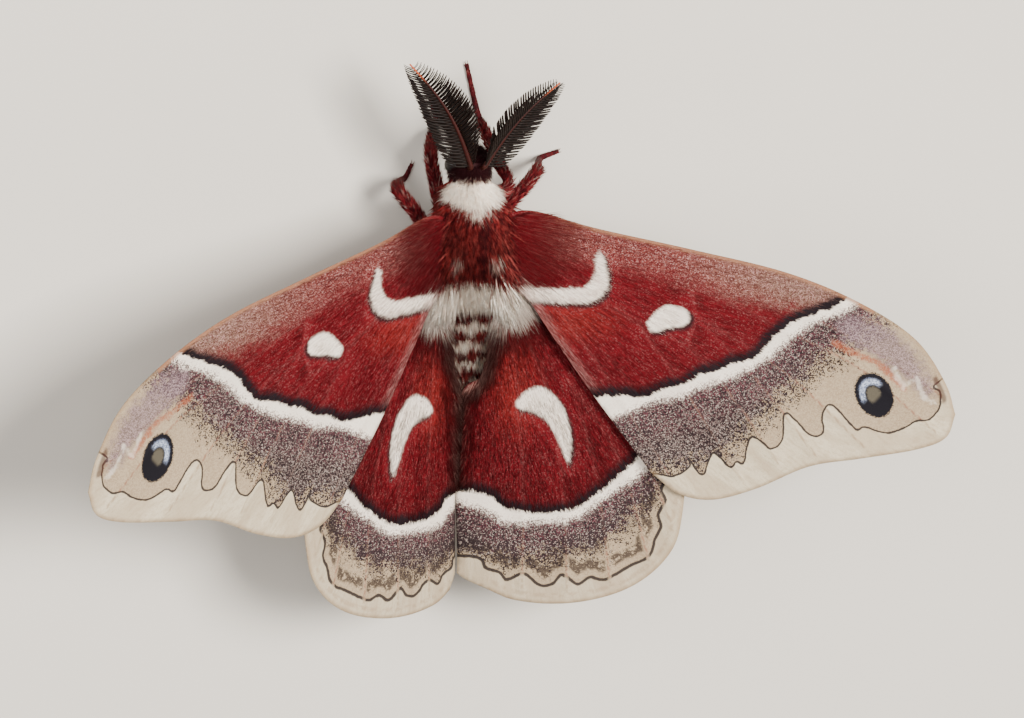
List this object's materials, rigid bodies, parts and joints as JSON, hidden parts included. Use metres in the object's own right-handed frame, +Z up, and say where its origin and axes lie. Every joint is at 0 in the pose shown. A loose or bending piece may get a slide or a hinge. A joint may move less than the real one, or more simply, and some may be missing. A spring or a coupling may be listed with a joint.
{
  "type": "glover's silkmoth model",
  "caption": "Life-size still model of a male Glover's silkmoth standing with raised, spread wings and feathery antennae.",
  "frame": {"origin": "on the floor, under the middle of the whole model's outline", "axes": "+Y towards the head, +Z up, +X towards the moth's right wing"},
  "size_m": [0.1042, 0.0639, 0.0304],
  "materials": {
    "wing": "matt wing scales, crimson field with pale and dark bands",
    "fur": "matt dark red hair",
    "cream": "matt cream hair",
    "abdomen": "matt red and white hair in bands",
    "eye": "smooth dark compound eye",
    "antenna": "matt dark brown comb on a red-brown shaft",
    "leg": "matt crimson hair"
  },
  "bodies": {
    "root": {"forewing_left": "wing", "forewing_right": "wing", "hindwing_left": "wing", "hindwing_right": "wing", "thorax": "fur", "head": "fur", "collar": "cream", "abdomen": "abdomen", "eye_left": "eye", "eye_right": "eye", "antenna_left": "antenna", "antenna_right": "antenna", "leg_front_left": "leg", "leg_front_right": "leg", "leg_mid_left": "leg", "leg_mid_right": "leg", "leg_hind_left": "leg", "leg_hind_right": "leg"}
  },
  "joints": []
}
